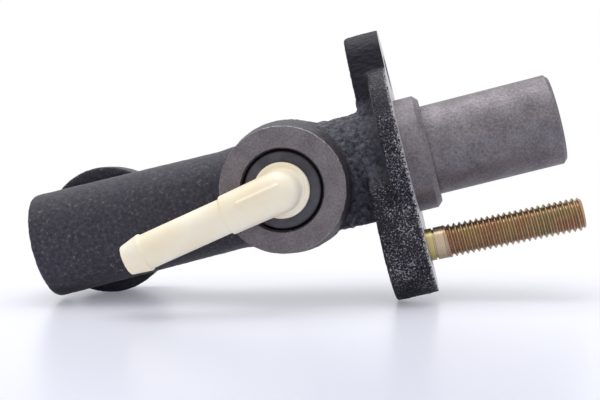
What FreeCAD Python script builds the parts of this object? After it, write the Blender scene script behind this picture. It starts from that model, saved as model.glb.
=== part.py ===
import FreeCAD, Part
import math
import os
import re
import Sketcher

# Clutch master cylinder with an iron body, in millimetres.
# +X runs along the bore to the open spigot, -Y out of the fluid inlet, +Z up.
# x = 0 is the machined flange face that bolts against the firewall.

SIZES = {
    # Bore and the turned outside of the casting
    "bore_diameter": 15.87,
    "bore_reach": 82.0,
    "bore_point": 2.0,
    "bore_point_diameter": 6.0,
    "spigot_diameter": 20.7,
    "spigot_reach": 34.9,
    "spigot_chamfer": 0.8,
    "collar_diameter": 26.3,
    "collar_length": 5.5,
    "collar_chamfer": 1.2,
    "barrel_reach": 88.4,
    "barrel_end_diameter": 24.8,
    "barrel_waist_diameter": 23.4,
    "barrel_waist_reach": 42.0,
    "barrel_end_round": 1.2,
    "neck_diameter": 24.8,
    "neck_reach": 35.0,
    # Flange
    "disc_diameter": 41.0,
    "disc_thickness": 4.3,
    "upper_ear_thickness": 8.2,
    "lower_ear_thickness": 9.5,
    "ear_pitch": 45.6,
    "ear_width": 21.0,
    "flange_turn": 28.3,
    "ear_round": 0.8,
    "bolt_hole_diameter": 8.5,
    "neck_fillet": 2.5,
    # Web under the neck
    "web_width": 19.0,
    "web_height": 3.6,
    # Stud in the lower ear
    "stud_diameter": 7.8,
    "stud_root_diameter": 7.2,
    "stud_seat_depth": 6.5,
    "stud_reach": 34.7,
    "stud_neck_length": 1.5,
    "stud_mouth_diameter": 8.6,
    "stud_chamfer": 0.7,
    "stud_lean": 1.9,
    # Fluid inlet
    "inlet_place": 27.5,
    "inlet_face": 20.0,
    "inlet_diameter": 27.8,
    "inlet_flare": 1.3,
    "socket_diameter": 18.0,
    "socket_depth": 8.2,
    "socket_chamfer": 0.3,
    "feed_hole_diameter": 2.4,
    "feed_hole_behind": 4.0,
    "vent_hole_diameter": 0.8,
    "vent_hole_ahead": 6.0,
    # Outlet boss
    "outlet_place": 75.4,
    "outlet_diameter": 31.0,
    "outlet_draft": 0.4,
    "outlet_shoulder": 8.0,
    "outlet_face": 18.5,
    "outlet_chamfer": 1.0,
    "port_diameter": 9.0,
    "port_mouth_diameter": 14.0,
    "port_mouth_depth": 1.0,
    "port_depth": 9.0,
    "port_point": 1.7,
    "passage_diameter": 3.0,
    # Piston group
    "stroke": 25.0,
    "running_gap": 0.035,
    "seal_gap": 0.03,
    "contact_gap": 0.05,
    "piston_head": 3.6,
    "piston_waist_diameter": 9.6,
    "piston_rear_length": 15.0,
    "seal_groove_depth": 2.6,
    "seal_groove_width": 3.6,
    "seal_groove_place": 3.2,
    "rod_socket_diameter": 8.0,
    "rod_socket_depth": 11.0,
    "rod_socket_point": 2.5,
    "land_chamfer": 0.3,
    "head_hole_diameter": 1.4,
    "head_hole_circle": 12.6,
    "cup_washer_thickness": 0.3,
    "cup_washer_diameter": 14.6,
    "lip_to_vent": 0.9,
    "cup_length": 4.0,
    "cup_web": 1.8,
    "cup_lip": 1.5,
    "seat_sheet": 0.5,
    "seat_diameter": 12.2,
    "seat_hub_diameter": 8.4,
    "seat_hub_length": 3.2,
    # Return spring
    "spring_wire": 1.5,
    "spring_mean_diameter": 10.4,
    "spring_turns": 9.0,
    # Stop washer and circlip at the mouth
    "clip_thickness": 1.2,
    "clip_inset": 3.2,
    "clip_groove_diameter": 17.3,
    "clip_inner_diameter": 13.6,
    "clip_opening": 46.0,
    "clip_eye_diameter": 3.4,
    "clip_eye_circle": 11.8,
    "clip_eye_hole": 1.6,
    "clip_eye_turn": 16.5,
    "washer_thickness": 1.5,
    "washer_hole_diameter": 9.5,
    # Rubber grommet and nylon elbow
    "grommet_neck_diameter": 16.9,
    "grommet_neck_length": 2.4,
    "grommet_thickness": 5.2,
    "grommet_sink": 0.4,
    "grommet_edge": 0.5,
    "swivel_gap": 0.05,
    "elbow_stem_diameter": 8.1,
    "elbow_stem_bore": 4.6,
    "elbow_barb_diameter": 9.4,
    "elbow_barb_length": 1.4,
    "elbow_plate_edge": 0.3,
    "elbow_neck_diameter": 9.4,
    "elbow_plate_diameter": 12.3,
    "elbow_plate_thickness": 1.8,
    "elbow_rise": 6.6,
    "elbow_dome_diameter": 9.2,
    "elbow_turn": 10.2,
    "elbow_base_diameter": 8.8,
    "elbow_base_length": 12.2,
    "nipple_diameter": 7.8,
    "nipple_length": 19.3,
    "nipple_barb_diameter": 8.6,
    "nipple_barb_length": 4.7,
    "nipple_tip_diameter": 6.6,
    "nipple_bore": 4.4,
}

doc = FreeCAD.newDocument("clutch_master_cylinder")
sheet = doc.addObject("Spreadsheet::Sheet", "Sizes")
for row, (alias, value) in enumerate(SIZES.items(), start=1):
    sheet.set(f"A{row}", alias)
    sheet.set(f"B{row}", str(value))
    sheet.setAlias(f"B{row}", alias)
doc.recompute()


def sized(text):
    """A formula in the sheet's words, as an expression on the sheet."""
    return re.sub(r"[a-z_]+", lambda word: "Sizes." + word.group() if word.group() in SIZES else word.group(), text)


def new_body(name):
    body = doc.addObject("PartDesign::Body", name)
    body.Label = name
    return body


def origin_plane(body, role):
    return next(item for item in body.Origin.OriginFeatures if item.Role == role)


def place_sketch(item, body, plane, offset=(), turn=""):
    """Attach to one of the body's planes, shifted and turned by formulas."""
    item.AttachmentSupport = [(origin_plane(body, plane), "")]
    item.MapMode = "FlatFace"
    for axis, text in zip("xyz", offset):
        item.setExpression(f"AttachmentOffset.Base.{axis}", sized(text))
    if turn:
        item.setExpression("AttachmentOffset.Rotation.Angle", sized(turn))


def outline(body, name, plane, corners, offset=(), turn=""):
    """A closed outline of straight runs. Each corner's coordinates are formulas."""
    sketch = body.newObject("Sketcher::SketchObject", name)
    place_sketch(sketch, body, plane, offset, turn)
    count = len(corners)
    rough = [FreeCAD.Vector(50 * math.cos(2 * math.pi * i / count), 50 * math.sin(2 * math.pi * i / count), 0)
             for i in range(count)]
    for i in range(count):
        sketch.addGeometry(Part.LineSegment(rough[i], rough[(i + 1) % count]), False)
    for i in range(count):
        sketch.addConstraint(Sketcher.Constraint("Coincident", i, 2, (i + 1) % count, 1))
    for i, (across, along) in enumerate(corners):
        bind(sketch, "DistanceX", i, rough[i].x, across)
        bind(sketch, "DistanceY", i, rough[i].y, along)
    return sketch


def bind(sketch, kind, edge, start, formula):
    """Hold the edge's first end at a coordinate given by a formula."""
    index = sketch.addConstraint(Sketcher.Constraint(kind, edge, 1, start))
    sketch.setExpression(f"Constraints[{index}]", sized(formula))


def circle(body, name, plane, diameter, offset=(), turn="", centre=("0", "0")):
    """One circle, its centre and diameter given by formulas."""
    sketch = body.newObject("Sketcher::SketchObject", name)
    place_sketch(sketch, body, plane, offset, turn)
    sketch.addGeometry(Part.Circle(FreeCAD.Vector(1, 1, 0), FreeCAD.Vector(0, 0, 1), 5), False)
    index = sketch.addConstraint(Sketcher.Constraint("Diameter", 0, 10.0))
    sketch.setExpression(f"Constraints[{index}]", sized(diameter))
    for kind, formula in zip(("DistanceX", "DistanceY"), centre):
        index = sketch.addConstraint(Sketcher.Constraint(kind, 0, 3, 1.0))
        sketch.setExpression(f"Constraints[{index}]", sized(formula))
    return sketch


def turn_about(body, name, sketch, axis="H_Axis", kind="PartDesign::Revolution"):
    """Turn an outline once round one of its own axes."""
    feature = body.newObject(kind, name)
    feature.Profile = sketch
    feature.ReferenceAxis = (sketch, [axis])
    feature.Angle = 360
    sketch.Visibility = False
    return feature


def extrude(body, name, sketch, length, reverse=False, kind="PartDesign::Pad"):
    feature = body.newObject(kind, name)
    feature.Profile = sketch
    feature.setExpression("Length", sized(length))
    feature.Reversed = reverse
    return feature


def edges_where(shape, test):
    """Names of the edges whose middle point passes the test."""
    names = []
    for index, edge in enumerate(shape.Edges, start=1):
        middle = edge.valueAt((edge.FirstParameter + edge.LastParameter) / 2)
        if test(edge, middle):
            names.append(f"Edge{index}")
    return names


def lies_at(edge, x):
    return abs(edge.BoundBox.XMin - x) < 0.01 and abs(edge.BoundBox.XMax - x) < 0.01


def dress(body, name, kind, base, names, size_property, formula):
    """A fillet or chamfer on the named edges of the base feature."""
    feature = body.newObject(kind, name)
    feature.Base = (base, names)
    feature.setExpression(size_property, sized(formula))
    return feature


# Body casting: iron, with its spigot, collar, flange face and inlet face machined.
casting = new_body("body_casting")
turned_outline = outline(casting, "turned_outline", "XZ_Plane", [
    ("-barrel_reach", "0"),
    ("-barrel_reach", "barrel_end_diameter / 2"),
    ("-barrel_waist_reach", "barrel_waist_diameter / 2"),
    ("-neck_reach", "neck_diameter / 2"),
    ("-disc_thickness", "neck_diameter / 2"),
    ("-disc_thickness", "disc_diameter / 2"),
    ("0", "disc_diameter / 2"),
    ("0", "collar_diameter / 2"),
    ("collar_length - collar_chamfer", "collar_diameter / 2"),
    ("collar_length", "collar_diameter / 2 - collar_chamfer"),
    ("collar_length", "spigot_diameter / 2"),
    ("spigot_reach - spigot_chamfer", "spigot_diameter / 2"),
    ("spigot_reach", "spigot_diameter / 2 - spigot_chamfer"),
    ("spigot_reach", "0"),
])
turned_form = turn_about(casting, "turned_form", turned_outline)

doc.recompute()
end_rim = edges_where(turned_form.Shape, lambda edge, middle: lies_at(edge, -SIZES["barrel_reach"]))
end_round = dress(casting, "end_round", "PartDesign::Fillet", turned_form, end_rim, "Radius",
                  "barrel_end_round")

# Flange ears: each a bar with round ends from the bore's axis out to its bolt, the lower one thicker
def ear(name, thickness, reach):
    sketch = casting.newObject("Sketcher::SketchObject", f"{name}_outline")
    place_sketch(sketch, casting, "YZ_Plane", turn="-flange_turn")
    radius = SIZES["ear_width"] / 2
    way = -1 if reach.startswith("-") else 1
    far = way * SIZES["ear_pitch"] / 2
    upright = FreeCAD.Vector(0, 0, 1)
    half_turn = 0 if way > 0 else math.pi
    sketch.addGeometry(Part.ArcOfCircle(Part.Circle(FreeCAD.Vector(0, far, 0), upright, radius),
                                        half_turn, half_turn + math.pi), False)
    sketch.addGeometry(Part.ArcOfCircle(Part.Circle(FreeCAD.Vector(0, 0, 0), upright, radius),
                                        half_turn + math.pi, half_turn + 2 * math.pi), False)
    sketch.addGeometry(Part.LineSegment(FreeCAD.Vector(-way * radius, far, 0),
                                        FreeCAD.Vector(-way * radius, 0, 0)), False)
    sketch.addGeometry(Part.LineSegment(FreeCAD.Vector(way * radius, 0, 0),
                                        FreeCAD.Vector(way * radius, far, 0)), False)
    for first, first_end, second, second_end in ((0, 2, 2, 1), (2, 2, 1, 1), (1, 2, 3, 1), (3, 2, 0, 1)):
        sketch.addConstraint(Sketcher.Constraint("Tangent", first, first_end, second, second_end))
    sketch.addConstraint(Sketcher.Constraint("PointOnObject", 0, 3, -2))
    sketch.addConstraint(Sketcher.Constraint("Coincident", 1, 3, -1, 1))
    index = sketch.addConstraint(Sketcher.Constraint("Radius", 0, radius))
    sketch.setExpression(f"Constraints[{index}]", sized("ear_width / 2"))
    index = sketch.addConstraint(Sketcher.Constraint("DistanceY", 0, 3, far))
    sketch.setExpression(f"Constraints[{index}]", sized(reach))
    return extrude(casting, name, sketch, thickness, reverse=True)


upper_ear = ear("upper_ear", "upper_ear_thickness", "ear_pitch / 2")
lower_ear = ear("lower_ear", "lower_ear_thickness", "-ear_pitch / 2")

# A web squares the underside of the neck between the inlet boss and the flange
web_sketch = outline(casting, "web_outline", "YZ_Plane", [
    ("-web_width / 2", "-neck_diameter / 2"),
    ("web_width / 2", "-neck_diameter / 2"),
    ("web_width / 2", "web_height - neck_diameter / 2"),
    ("-web_width / 2", "web_height - neck_diameter / 2"),
])
web = extrude(casting, "web", web_sketch, "inlet_place", reverse=True)

# Inlet boss, flared towards the barrel by its draft
inlet_sketch = outline(casting, "inlet_outline", "XY_Plane", [
    ("0", "0"),
    ("inlet_diameter / 2 + inlet_flare", "0"),
    ("inlet_diameter / 2 + inlet_flare", "-bore_diameter / 2"),
    ("inlet_diameter / 2", "-inlet_face"),
    ("0", "-inlet_face"),
], offset=("-inlet_place", "0", "0"))
inlet_boss = turn_about(casting, "inlet_boss", inlet_sketch, "V_Axis")

# Outlet boss on the far side
outlet_sketch = outline(casting, "outlet_outline", "XY_Plane", [
    ("0", "outlet_shoulder"),
    ("outlet_diameter / 2", "outlet_shoulder"),
    ("outlet_diameter / 2 - outlet_draft", "outlet_face - outlet_chamfer"),
    ("outlet_diameter / 2 - outlet_draft - outlet_chamfer", "outlet_face"),
    ("0", "outlet_face"),
], offset=("-outlet_place", "0", "0"))
outlet_boss = turn_about(casting, "outlet_boss", outlet_sketch, "V_Axis")
doc.recompute()


def flange_back_edges(shape, wanted_radius):
    """Edges on the flange's back faces whose middles lie at a wanted distance from the bore's axis."""
    backs = [-SIZES[name] for name in ("upper_ear_thickness", "lower_ear_thickness", "disc_thickness")]
    return edges_where(shape, lambda edge, middle: any(lies_at(edge, x) for x in backs)
                       and wanted_radius(math.hypot(middle.y, middle.z)))


# Cast rounds where the flange's backs meet the neck, then round the ears' rims
neck_radius = SIZES["neck_diameter"] / 2
neck_rounds = dress(casting, "neck_rounds", "PartDesign::Fillet", outlet_boss,
                    flange_back_edges(outlet_boss.Shape, lambda radius: abs(radius - neck_radius) < 0.01),
                    "Radius", "neck_fillet")
doc.recompute()
ear_rounds = dress(casting, "ear_rounds", "PartDesign::Fillet", neck_rounds,
                   flange_back_edges(neck_rounds.Shape, lambda radius: radius > neck_radius
                                     + SIZES["neck_fillet"] + SIZES["ear_round"]),
                   "Radius", "ear_round")
doc.recompute()

# Bore with its circlip groove
bore_sketch = outline(casting, "bore_outline", "XZ_Plane", [
    ("-bore_reach - bore_point", "0"),
    ("-bore_reach", "bore_point_diameter / 2"),
    ("-bore_reach", "bore_diameter / 2"),
    ("spigot_reach - clip_inset - clip_thickness - contact_gap", "bore_diameter / 2"),
    ("spigot_reach - clip_inset - clip_thickness - contact_gap", "clip_groove_diameter / 2"),
    ("spigot_reach - clip_inset", "clip_groove_diameter / 2"),
    ("spigot_reach - clip_inset", "bore_diameter / 2"),
    ("spigot_reach + 1", "bore_diameter / 2"),
    ("spigot_reach + 1", "0"),
])
bore = turn_about(casting, "bore", bore_sketch, kind="PartDesign::Groove")

# Socket for the grommet in the inlet face
socket_sketch = outline(casting, "socket_outline", "XY_Plane", [
    ("0", "-inlet_face - 1"),
    ("socket_diameter / 2 + socket_chamfer", "-inlet_face - 1"),
    ("socket_diameter / 2 + socket_chamfer", "-inlet_face"),
    ("socket_diameter / 2", "-inlet_face + socket_chamfer"),
    ("socket_diameter / 2", "-inlet_face + socket_depth"),
    ("0", "-inlet_face + socket_depth"),
], offset=("-inlet_place", "0", "0"))
socket = turn_about(casting, "socket", socket_sketch, "V_Axis", "PartDesign::Groove")

# Feed hole behind the primary cup and vent hole just ahead of its lip
feed_sketch = circle(casting, "feed_hole_outline", "XZ_Plane", "feed_hole_diameter",
                     centre=("-inlet_place + feed_hole_behind", "0"))
feed_hole = extrude(casting, "feed_hole", feed_sketch, "inlet_face", reverse=True, kind="PartDesign::Pocket")
vent_sketch = circle(casting, "vent_hole_outline", "XZ_Plane", "vent_hole_diameter",
                     centre=("-inlet_place - vent_hole_ahead", "0"))
vent_hole = extrude(casting, "vent_hole", vent_sketch, "inlet_face", reverse=True, kind="PartDesign::Pocket")

# Outlet port: spot face, tapping drill and the passage into the bore
port_sketch = outline(casting, "port_outline", "XY_Plane", [
    ("0", "outlet_face + 1"),
    ("port_mouth_diameter / 2", "outlet_face + 1"),
    ("port_mouth_diameter / 2", "outlet_face - port_mouth_depth"),
    ("port_diameter / 2", "outlet_face - port_mouth_depth"),
    ("port_diameter / 2", "outlet_face - port_depth"),
    ("passage_diameter / 2", "outlet_face - port_depth - port_point"),
    ("passage_diameter / 2", "0"),
    ("0", "0"),
], offset=("-outlet_place", "0", "0"))
port = turn_about(casting, "port", port_sketch, "V_Axis", "PartDesign::Groove")

# Bolt hole through the upper ear, blind hole for the stud in the lower one
bolt_sketch = circle(casting, "bolt_hole_outline", "YZ_Plane", "bolt_hole_diameter",
                     turn="-flange_turn", centre=("0", "ear_pitch / 2"))
bolt_hole = extrude(casting, "bolt_hole", bolt_sketch, "upper_ear_thickness + 1", kind="PartDesign::Pocket")
doc.recompute()


# The stud's hole leans with the stud, and its mouth is countersunk
STUD_PLACE = ("0", "-cos(flange_turn) * ear_pitch / 2", "sin(flange_turn) * ear_pitch / 2")
stud_hole_sketch = outline(casting, "stud_hole_outline", "XZ_Plane", [
    ("1", "0"),
    ("1", "stud_mouth_diameter / 2 + 1"),
    ("stud_root_diameter / 2 - stud_mouth_diameter / 2", "stud_root_diameter / 2"),
    ("-stud_seat_depth", "stud_root_diameter / 2"),
    ("-stud_seat_depth", "0"),
], offset=STUD_PLACE, turn="-stud_lean")
stud_hole = turn_about(casting, "stud_hole", stud_hole_sketch, kind="PartDesign::Groove")
doc.recompute()

# Mounting stud: steel, zinc plated and passivated yellow, screwed into the lower ear.
stud = new_body("mounting_stud")
stud_sketch = outline(stud, "stud_outline", "XZ_Plane", [
    ("-stud_seat_depth", "0"),
    ("-stud_seat_depth", "stud_root_diameter / 2"),
    ("stud_neck_length", "stud_root_diameter / 2"),
    ("stud_neck_length", "stud_diameter / 2"),
    ("stud_reach - stud_chamfer", "stud_diameter / 2"),
    ("stud_reach", "stud_diameter / 2 - stud_chamfer"),
    ("stud_reach", "0"),
], offset=STUD_PLACE, turn="-stud_lean")
turn_about(stud, "stud_form", stud_sketch)

# Circlip: spring steel, sprung into the groove at the spigot's mouth.
CLIP_FACE = "spigot_reach - clip_inset - clip_thickness"
clip = new_body("circlip")
clip_ring_sketch = circle(clip, "clip_ring_outline", "YZ_Plane", "clip_groove_diameter - 2 * contact_gap",
                          offset=("0", "0", CLIP_FACE))
extrude(clip, "clip_ring", clip_ring_sketch, "clip_thickness")
clip_hole_sketch = circle(clip, "clip_hole_outline", "YZ_Plane", "clip_inner_diameter",
                          offset=("0", "0", CLIP_FACE))
extrude(clip, "clip_hole", clip_hole_sketch, "clip_thickness", reverse=True, kind="PartDesign::Pocket")
clip_gap_sketch = outline(clip, "clip_gap_outline", "YZ_Plane", [
    ("0", "0"),
    ("-clip_groove_diameter * tan(clip_opening / 2)", "-clip_groove_diameter"),
    ("clip_groove_diameter * tan(clip_opening / 2)", "-clip_groove_diameter"),
], offset=("0", "0", CLIP_FACE))
extrude(clip, "clip_gap", clip_gap_sketch, "clip_thickness", reverse=True, kind="PartDesign::Pocket")
for side, sign in (("left", "-"), ("right", "")):
    eye_centre = (f"{sign}sin(clip_opening / 2 + clip_eye_turn)"
                  " * clip_eye_circle / 2",
                  "-cos(clip_opening / 2 + clip_eye_turn)"
                  " * clip_eye_circle / 2")
    eye_sketch = circle(clip, f"clip_eye_outline_{side}", "YZ_Plane", "clip_eye_diameter",
                        offset=("0", "0", CLIP_FACE), centre=eye_centre)
    extrude(clip, f"clip_eye_{side}", eye_sketch, "clip_thickness")
    hole_sketch = circle(clip, f"clip_eye_hole_outline_{side}", "YZ_Plane", "clip_eye_hole",
                         offset=("0", "0", CLIP_FACE), centre=eye_centre)
    extrude(clip, f"clip_eye_hole_{side}", hole_sketch, "clip_thickness", reverse=True,
            kind="PartDesign::Pocket")

# Stop washer: a flat steel washer behind the circlip that the piston rests against.
washer = new_body("stop_washer")
washer_sketch = outline(washer, "washer_outline", "XZ_Plane", [
    (f"{CLIP_FACE} - washer_thickness", "washer_hole_diameter / 2"),
    (f"{CLIP_FACE} - washer_thickness", "bore_diameter / 2 - contact_gap"),
    (CLIP_FACE, "bore_diameter / 2 - contact_gap"),
    (CLIP_FACE, "washer_hole_diameter / 2"),
])
turn_about(washer, "washer_form", washer_sketch)

# Piston: turned aluminium, with a head that feeds the cup through small holes, a waist and a rear land.
PISTON_END = f"{CLIP_FACE} - washer_thickness - contact_gap"
PISTON_FRONT = "-inlet_place - vent_hole_ahead + lip_to_vent + cup_length + cup_washer_thickness"
LAND = f"{PISTON_END} - piston_rear_length"
piston = new_body("piston")
piston_sketch = outline(piston, "piston_outline", "XZ_Plane", [
    (PISTON_FRONT, "0"),
    (PISTON_FRONT, "bore_diameter / 2 - running_gap - land_chamfer"),
    (f"{PISTON_FRONT} + land_chamfer", "bore_diameter / 2 - running_gap"),
    (f"{PISTON_FRONT} + piston_head", "bore_diameter / 2 - running_gap"),
    (f"{PISTON_FRONT} + piston_head", "piston_waist_diameter / 2"),
    (LAND, "piston_waist_diameter / 2"),
    (LAND, "bore_diameter / 2 - running_gap"),
    (f"{LAND} + seal_groove_place", "bore_diameter / 2 - running_gap"),
    (f"{LAND} + seal_groove_place", "bore_diameter / 2 - seal_groove_depth"),
    (f"{LAND} + seal_groove_place + seal_groove_width", "bore_diameter / 2 - seal_groove_depth"),
    (f"{LAND} + seal_groove_place + seal_groove_width", "bore_diameter / 2 - running_gap"),
    (f"{PISTON_END} - land_chamfer", "bore_diameter / 2 - running_gap"),
    (PISTON_END, "bore_diameter / 2 - running_gap - land_chamfer"),
    (PISTON_END, "rod_socket_diameter / 2"),
    (f"{PISTON_END} - rod_socket_depth", "rod_socket_diameter / 2"),
    (f"{PISTON_END} - rod_socket_depth - rod_socket_point", "0"),
])
turn_about(piston, "piston_form", piston_sketch)
head_hole_sketch = circle(piston, "head_hole_outline", "YZ_Plane", "head_hole_diameter",
                          offset=("0", "0", f"{PISTON_FRONT}"), centre=("0", "head_hole_circle / 2"))
head_hole = extrude(piston, "head_hole", head_hole_sketch, "piston_head", reverse=True,
                    kind="PartDesign::Pocket")
head_holes = piston.newObject("PartDesign::PolarPattern", "head_holes")
head_holes.Originals = [head_hole]
head_holes.Axis = (head_hole_sketch, ["N_Axis"])
head_holes.Angle = 360
head_holes.Occurrences = 6
piston.Tip = head_holes

# Cup washer: thin spring steel that keeps the rubber out of the head's holes.
cup_washer = new_body("cup_washer")
CUP_BACK = f"{PISTON_FRONT} - cup_washer_thickness"
cup_washer_sketch = outline(cup_washer, "cup_washer_outline", "XZ_Plane", [
    (CUP_BACK, "0"),
    (CUP_BACK, "cup_washer_diameter / 2"),
    (PISTON_FRONT, "cup_washer_diameter / 2"),
    (PISTON_FRONT, "0"),
])
turn_about(cup_washer, "cup_washer_form", cup_washer_sketch)

# Primary cup: moulded rubber, its lip towards the outlet.
primary_cup = new_body("primary_cup")
primary_cup_sketch = outline(primary_cup, "primary_cup_outline", "XZ_Plane", [
    (CUP_BACK, "0"),
    (CUP_BACK, "cup_washer_diameter / 2"),
    (f"{CUP_BACK} - cup_web / 2", "bore_diameter / 2 - cup_lip / 2"),
    (f"{CUP_BACK} - cup_length", "bore_diameter / 2 - seal_gap"),
    (f"{CUP_BACK} - cup_length", "bore_diameter / 2 - cup_lip / 2"),
    (f"{CUP_BACK} - cup_web", "bore_diameter / 2 - cup_lip"),
    (f"{CUP_BACK} - cup_web", "0"),
])
turn_about(primary_cup, "primary_cup_form", primary_cup_sketch)

# Secondary cup: a rubber ring in the groove of the rear land.
secondary_cup = new_body("secondary_cup")
RING = f"{LAND} + seal_groove_place"
secondary_cup_sketch = outline(secondary_cup, "secondary_cup_outline", "XZ_Plane", [
    (f"{RING} + seal_gap", "bore_diameter / 2 - seal_groove_depth + seal_gap"),
    (f"{RING} + seal_gap", "bore_diameter / 2 - seal_gap"),
    (f"{RING} + seal_groove_width / 2", "bore_diameter / 2 - seal_groove_depth / 4"),
    (f"{RING} + seal_groove_width - seal_gap", "bore_diameter / 2 - seal_groove_depth / 4"),
    (f"{RING} + seal_groove_width - seal_gap", "bore_diameter / 2 - seal_groove_depth + seal_gap"),
])
turn_about(secondary_cup, "secondary_cup_form", secondary_cup_sketch)

# Spring seat: a stamped steel cap inside the primary cup.
seat = new_body("spring_seat")
SEAT = f"{CUP_BACK} - cup_web"
seat_sketch = outline(seat, "seat_outline", "XZ_Plane", [
    (SEAT, "seat_hub_diameter / 2 - seat_sheet"),
    (SEAT, "seat_diameter / 2"),
    (f"{SEAT} - seat_sheet", "seat_diameter / 2"),
    (f"{SEAT} - seat_sheet", "seat_hub_diameter / 2"),
    (f"{SEAT} - seat_hub_length", "seat_hub_diameter / 2"),
    (f"{SEAT} - seat_hub_length", "0"),
    (f"{SEAT} - seat_hub_length + seat_sheet", "0"),
    (f"{SEAT} - seat_hub_length + seat_sheet", "seat_hub_diameter / 2 - seat_sheet"),
])
turn_about(seat, "seat_form", seat_sketch)

# Return spring: cold wound wire from the bottom of the bore to the spring seat.
spring = new_body("return_spring")
spring_sketch = circle(spring, "spring_wire_outline", "XZ_Plane", "spring_wire",
                       centre=("-bore_reach + spring_wire / 2 + contact_gap", "spring_mean_diameter / 2"))
coil = spring.newObject("PartDesign::AdditiveHelix", "coil")
coil.Profile = spring_sketch
coil.ReferenceAxis = (spring_sketch, ["H_Axis"])
coil.Mode = 2
coil.setExpression("Height", sized(f"bore_reach + {SEAT} - seat_sheet - spring_wire - 2 * contact_gap"))
coil.setExpression("Turns", sized("spring_turns"))

# Inlet grommet: moulded rubber, pressed into the socket.
GROMMET_TOP = "-inlet_face + grommet_sink"
AT_INLET = ("-inlet_place", "0", "0")
grommet = new_body("inlet_grommet")
grommet_sketch = outline(grommet, "grommet_outline", "XY_Plane", [
    ("elbow_stem_diameter / 2 + swivel_gap", GROMMET_TOP),
    ("grommet_neck_diameter / 2 - grommet_edge", GROMMET_TOP),
    ("grommet_neck_diameter / 2", f"{GROMMET_TOP} + grommet_edge"),
    ("grommet_neck_diameter / 2", f"{GROMMET_TOP} + grommet_neck_length"),
    ("socket_diameter / 2", f"{GROMMET_TOP} + grommet_neck_length + grommet_edge"),
    ("socket_diameter / 2", f"{GROMMET_TOP} + grommet_thickness"),
    ("elbow_stem_diameter / 2 + swivel_gap", f"{GROMMET_TOP} + grommet_thickness"),
], offset=AT_INLET)
turn_about(grommet, "grommet_form", grommet_sketch, "V_Axis")

# Inlet elbow: moulded nylon. Its barbed stem turns in the grommet and its nipple takes the hose.
elbow = new_body("inlet_elbow")
PLATE = f"{GROMMET_TOP} - contact_gap"
TUBE_LEVEL = "inlet_face + elbow_rise"
BARB = f"{GROMMET_TOP} + grommet_thickness + contact_gap"
stem_sketch = outline(elbow, "stem_outline", "XY_Plane", [
    ("0", f"-({TUBE_LEVEL})"),
    ("elbow_neck_diameter / 2", f"-({TUBE_LEVEL})"),
    ("elbow_neck_diameter / 2", f"{PLATE} - elbow_plate_thickness"),
    ("elbow_plate_diameter / 2 - elbow_plate_edge", f"{PLATE} - elbow_plate_thickness"),
    ("elbow_plate_diameter / 2", f"{PLATE} - elbow_plate_thickness + elbow_plate_edge"),
    ("elbow_plate_diameter / 2", PLATE),
    ("elbow_stem_diameter / 2", PLATE),
    ("elbow_stem_diameter / 2", BARB),
    ("elbow_barb_diameter / 2", BARB),
    ("elbow_stem_diameter / 2", f"{BARB} + elbow_barb_length"),
    ("0", f"{BARB} + elbow_barb_length"),
], offset=AT_INLET)
stem = turn_about(elbow, "stem", stem_sketch, "V_Axis")
TUBE_PLACE = ("-inlet_place", "0", TUBE_LEVEL)
TUBE_TURN = "180 + elbow_turn"
NIPPLE_END = "elbow_base_length + nipple_length"
dome = elbow.newObject("PartDesign::AdditiveSphere", "dome")
place_sketch(dome, elbow, "XZ_Plane", TUBE_PLACE)
dome.setExpression("Radius", sized("elbow_dome_diameter / 2"))
tube_sketch = outline(elbow, "tube_outline", "XZ_Plane", [
    ("0", "0"),
    ("0", "elbow_dome_diameter / 2"),
    ("elbow_base_length", "elbow_base_diameter / 2"),
    ("elbow_base_length", "nipple_diameter / 2"),
    (NIPPLE_END, "nipple_diameter / 2"),
    (NIPPLE_END, "nipple_barb_diameter / 2"),
    (f"{NIPPLE_END} + nipple_barb_length", "nipple_tip_diameter / 2"),
    (f"{NIPPLE_END} + nipple_barb_length", "0"),
], offset=TUBE_PLACE, turn=TUBE_TURN)
tube = turn_about(elbow, "tube", tube_sketch)
tube_bore_sketch = outline(elbow, "tube_bore_outline", "XZ_Plane", [
    ("0", "0"),
    ("0", "nipple_bore / 2"),
    (f"{NIPPLE_END} + nipple_barb_length + 1", "nipple_bore / 2"),
    (f"{NIPPLE_END} + nipple_barb_length + 1", "0"),
], offset=TUBE_PLACE, turn=TUBE_TURN)
tube_bore = turn_about(elbow, "tube_bore", tube_bore_sketch, kind="PartDesign::Groove")
stem_bore_sketch = outline(elbow, "stem_bore_outline", "XY_Plane", [
    ("0", f"-({TUBE_LEVEL})"),
    ("elbow_stem_bore / 2", f"-({TUBE_LEVEL})"),
    ("elbow_stem_bore / 2", "0"),
    ("0", "0"),
], offset=AT_INLET)
stem_bore = turn_about(elbow, "stem_bore", stem_bore_sketch, "V_Axis", "PartDesign::Groove")

doc.recompute()
for item in doc.Objects:
    if "Invalid" in item.State or "Error" in item.State:
        raise RuntimeError(f"{item.Label} failed: {item.State}")

PIECES = [item for item in doc.Objects if item.TypeId == "PartDesign::Body"]
for item in PIECES:
    if item.Shape.isNull() or not item.Shape.isValid() or len(item.Shape.Solids) != 1:
        raise RuntimeError(f"{item.Label} has no sound solid")

os.makedirs("parts", exist_ok=True)
for item in PIECES:
    item.Shape.exportStep(f"parts/{item.Label}.step")
    box = item.Shape.BoundBox
    print(f"{item.Label}: {item.Shape.Volume:.0f} mm3, x {box.XMin:.1f} to {box.XMax:.1f},"
          f" y {box.YMin:.1f} to {box.YMax:.1f}, z {box.ZMin:.1f} to {box.ZMax:.1f}")
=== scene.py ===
import math

import bmesh
import bpy
from mathutils import Matrix, Vector, noise


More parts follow.
